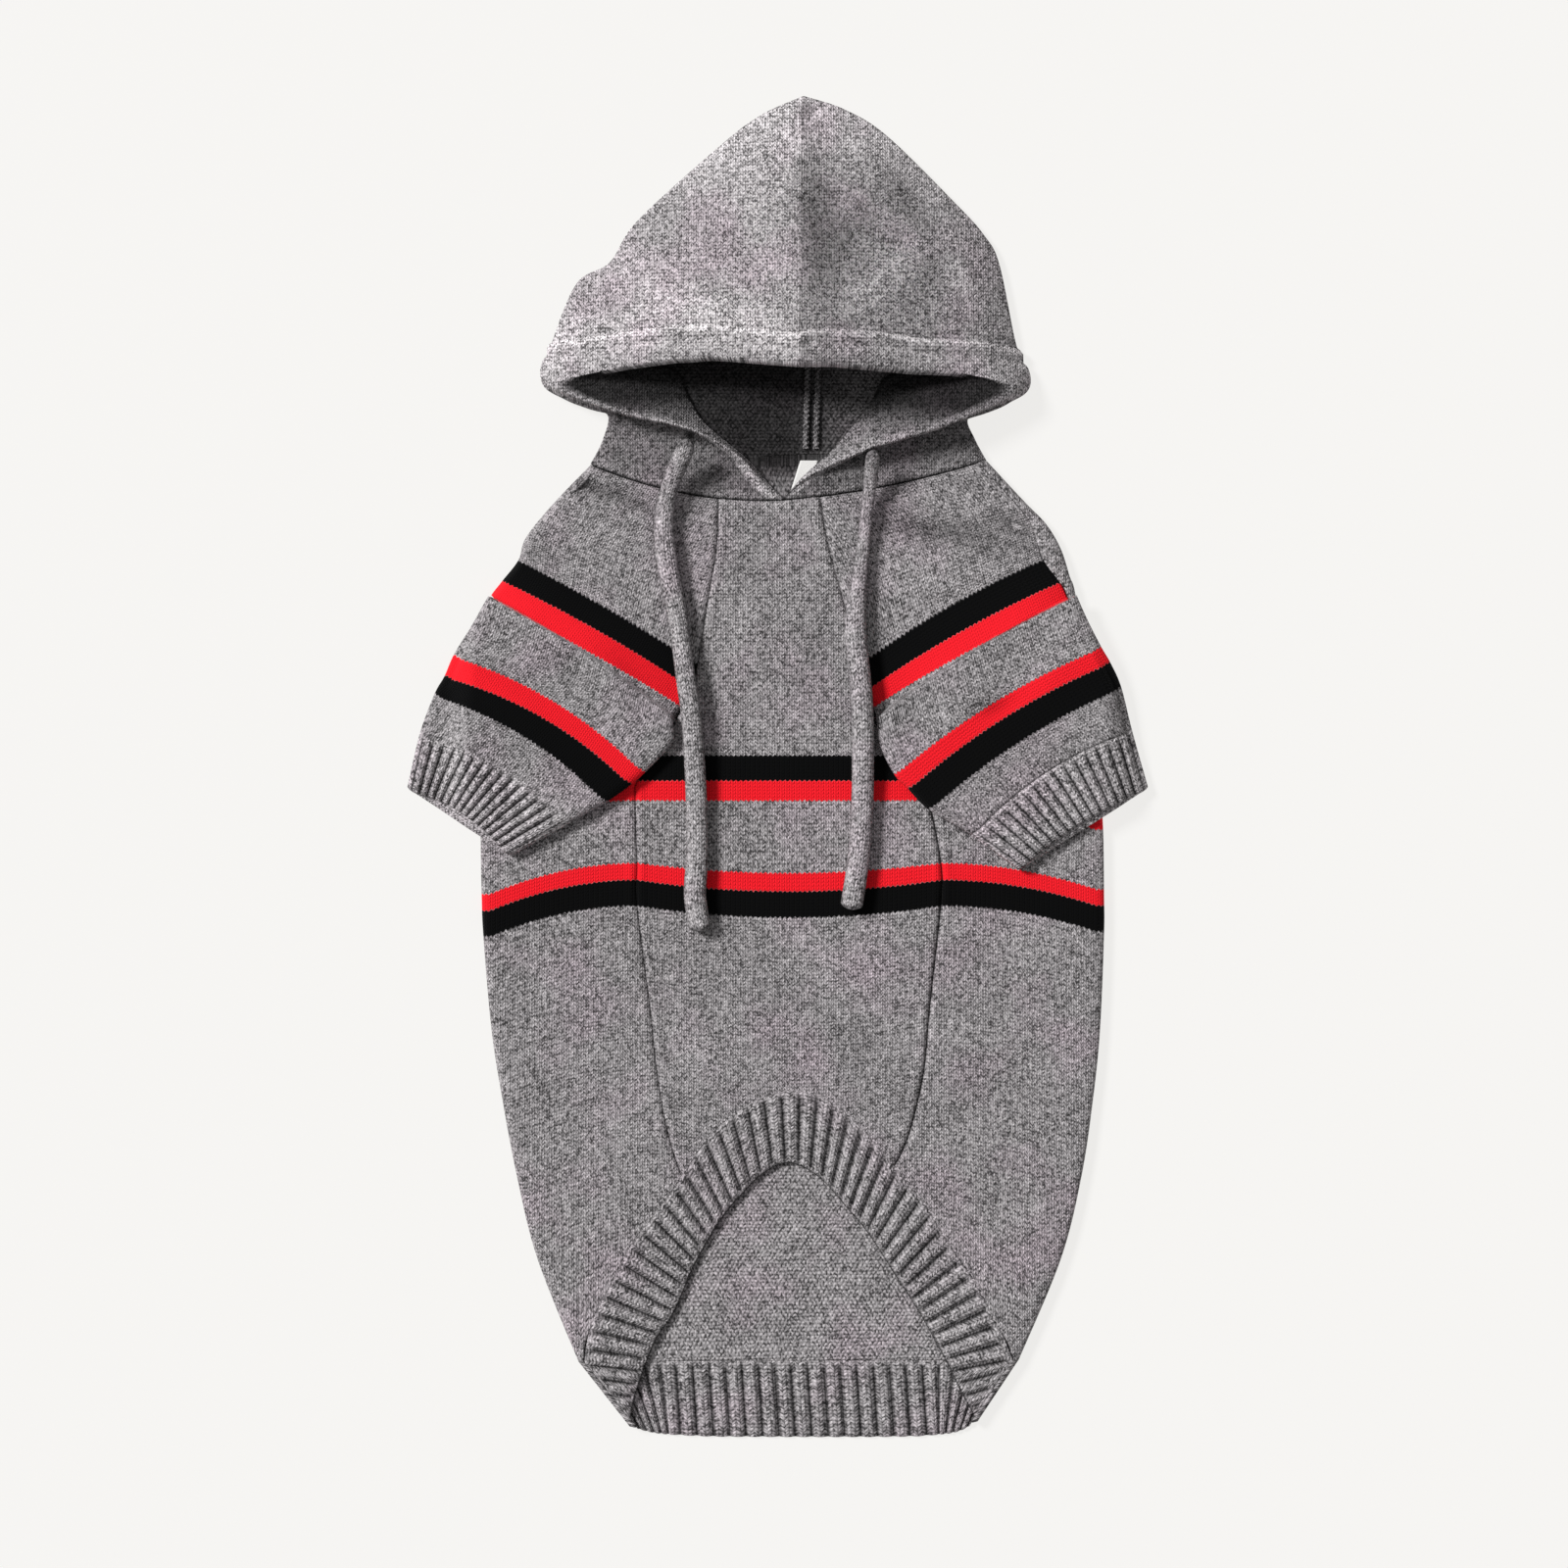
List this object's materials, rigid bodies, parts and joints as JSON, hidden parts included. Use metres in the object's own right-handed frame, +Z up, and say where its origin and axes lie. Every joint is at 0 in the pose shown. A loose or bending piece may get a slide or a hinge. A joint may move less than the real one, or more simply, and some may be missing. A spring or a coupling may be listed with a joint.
{
  "type": "dog sweater",
  "caption": "Knitted dog sweater with a drawstring hood, short raglan sleeves with striped bands, and a ribbed arch at the belly, laid flat.",
  "frame": {"origin": "centre of the bounding box's bottom face: the middle of the garment, on the surface it lies on", "axes": "+Y from the hem toward the hood, +X toward the right-hand side as seen from above with the belly side up, +Z up from the surface"},
  "size_m": [0.28, 0.507, 0.03],
  "materials": {
    "marl_jersey": "matt marl jersey with black and red stripes",
    "marl_rib": "matt one by one rib in the same marl",
    "cord_knit": "matt knitted tube",
    "label_woven": "matt white woven tape, blank"
  },
  "bodies": {
    "root": {"back_panel": "marl_jersey", "belly_panel": "marl_jersey", "belly_arch_rib": "marl_rib", "back_hem_rib": "marl_rib", "sleeve_left": "marl_jersey", "sleeve_right": "marl_jersey", "cuff_left": "marl_rib", "cuff_right": "marl_rib", "hood_left": "marl_jersey", "hood_right": "marl_jersey", "neck_label": "label_woven", "drawcord_left": "cord_knit", "drawcord_right": "cord_knit"}
  },
  "joints": []
}
